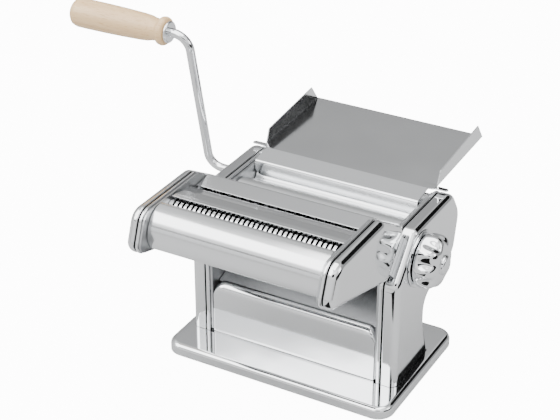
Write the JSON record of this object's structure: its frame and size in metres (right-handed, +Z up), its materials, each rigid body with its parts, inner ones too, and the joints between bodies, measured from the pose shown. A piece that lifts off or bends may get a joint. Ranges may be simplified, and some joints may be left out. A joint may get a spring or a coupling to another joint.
{
  "type": "pasta roller machine",
  "caption": "Hand-cranked dough roller with a clip-on double strip cutter, thickness knob, wooden-grip crank and a lift-off winged feed tray on a flat base.",
  "frame": {"origin": "middle of the whole object's bounding box, at table level", "axes": "+X along the rollers towards the thickness knob, +Y from the cutter at the front to the feed tray at the back, +Z up"},
  "size_m": [0.3602, 0.2942, 0.258],
  "materials": {
    "chrome": "polished",
    "steel": "fine ground",
    "beech": "smooth oiled",
    "rubber": "matte"
  },
  "bodies": {
    "machine": {"base_plate": "chrome", "foot_front_left": "rubber", "foot_front_right": "rubber", "foot_back_left": "rubber", "foot_back_right": "rubber", "casing_left": "chrome", "casing_right": "chrome", "frame_left": "steel", "frame_right": "steel", "cutter_rail_left": "steel", "cutter_rail_right": "steel", "tie_rod_front": "steel", "tie_rod_back": "steel", "tie_rod_head": "steel", "front_panel": "chrome", "chute_plate": "steel", "back_cover": "chrome", "back_panel": "chrome", "scraper_rear": "steel", "index_disc": "chrome"},
    "rear_roller": {"roller_rear": "chrome", "gear_rear": "steel"},
    "gap_carriage": {"bearing_block_left": "steel", "bearing_block_right": "steel", "scraper_front": "steel"},
    "front_roller": {"roller_front": "chrome", "gear_front": "steel"},
    "knob_spindle": {"knob_shaft": "steel"},
    "knob": {"thickness_knob": "chrome", "index_pin": "steel"},
    "crank": {"crank_rod": "chrome", "grip_washer": "chrome"},
    "grip": {"grip": "beech"},
    "tray": {"feed_tray": "chrome"},
    "cutter": {"cutter_casing_left": "chrome", "cutter_casing_right": "chrome", "cutter_frame_left": "steel", "cutter_frame_right": "steel", "cutter_front_cover": "chrome", "cutter_middle_guide": "chrome", "cutter_rear_guide": "chrome", "narrow_scraper": "steel", "wide_scraper": "steel", "cutter_tie_rod_front": "steel", "cutter_tie_rod_back": "steel"},
    "narrow_front": {"narrow_roller_front": "steel", "narrow_gear_front": "steel"},
    "narrow_back": {"narrow_roller_back": "steel", "narrow_gear_back": "steel"},
    "wide_front": {"wide_roller_front": "steel", "wide_gear_front": "steel"},
    "wide_back": {"wide_roller_back": "steel", "wide_gear_back": "steel"}
  },
  "joints": [
    {"name": "crank_turn", "type": "hinge", "parent": "machine", "child": "rear_roller", "pos_m": [0.0619, 0.04386, 0.1145], "axis": [1, 0, 0], "continuous": true},
    {"name": "knob_turn", "type": "hinge", "parent": "machine", "child": "knob_spindle", "pos_m": [0.0619, -0.00854, 0.113], "axis": [1, 0, 0], "range_deg": [0, 240]},
    {"name": "knob_pull", "type": "slide", "parent": "knob_spindle", "child": "knob", "axis": [1, 0, 0], "range_m": [0, 0.004], "stiffness_N_per_m": 900},
    {"name": "gap_slide", "type": "slide", "parent": "machine", "child": "gap_carriage", "axis": [0, -1, 0], "range_m": [0, 0.0024]},
    {"name": "front_roller_turn", "type": "hinge", "parent": "gap_carriage", "child": "front_roller", "pos_m": [0.0619, 0.00046, 0.1145], "axis": [1, 0, 0], "continuous": true},
    {"name": "crank_pull", "type": "slide", "parent": "rear_roller", "child": "crank", "axis": [-1, 0, 0], "range_m": [0, 0.02]},
    {"name": "grip_spin", "type": "hinge", "parent": "crank", "child": "grip", "pos_m": [0.0619, 0.01456, 0.2455], "axis": [1, 0, 0], "continuous": true},
    {"name": "tray_lift", "type": "slide", "parent": "machine", "child": "tray", "axis": [0, 0, 1], "range_m": [0, 0.04]},
    {"name": "cutter_slide", "type": "slide", "parent": "machine", "child": "cutter", "axis": [0, 0.6691, 0.7431], "range_m": [0, 0.05]},
    {"name": "narrow_turn", "type": "hinge", "parent": "cutter", "child": "narrow_front", "pos_m": [0.0619, -0.11801, 0.16002], "axis": [1, 0, 0], "continuous": true},
    {"name": "narrow_back_turn", "type": "hinge", "parent": "cutter", "child": "narrow_back", "pos_m": [0.0619, -0.10108, 0.15698], "axis": [1, 0, 0], "continuous": true},
    {"name": "wide_turn", "type": "hinge", "parent": "cutter", "child": "wide_front", "pos_m": [0.0619, -0.07903, 0.15301], "axis": [1, 0, 0], "continuous": true},
    {"name": "wide_back_turn", "type": "hinge", "parent": "cutter", "child": "wide_back", "pos_m": [0.0619, -0.06211, 0.14996], "axis": [1, 0, 0], "continuous": true}
  ],
  "couplings": [
    {"joint": "front_roller_turn", "follows": "crank_turn", "ratio": -1},
    {"joint": "knob_turn", "follows": "gap_slide", "rad_per_m": 1745.3},
    {"joint": "narrow_back_turn", "follows": "narrow_turn", "ratio": -1},
    {"joint": "wide_back_turn", "follows": "wide_turn", "ratio": -1}
  ]
}
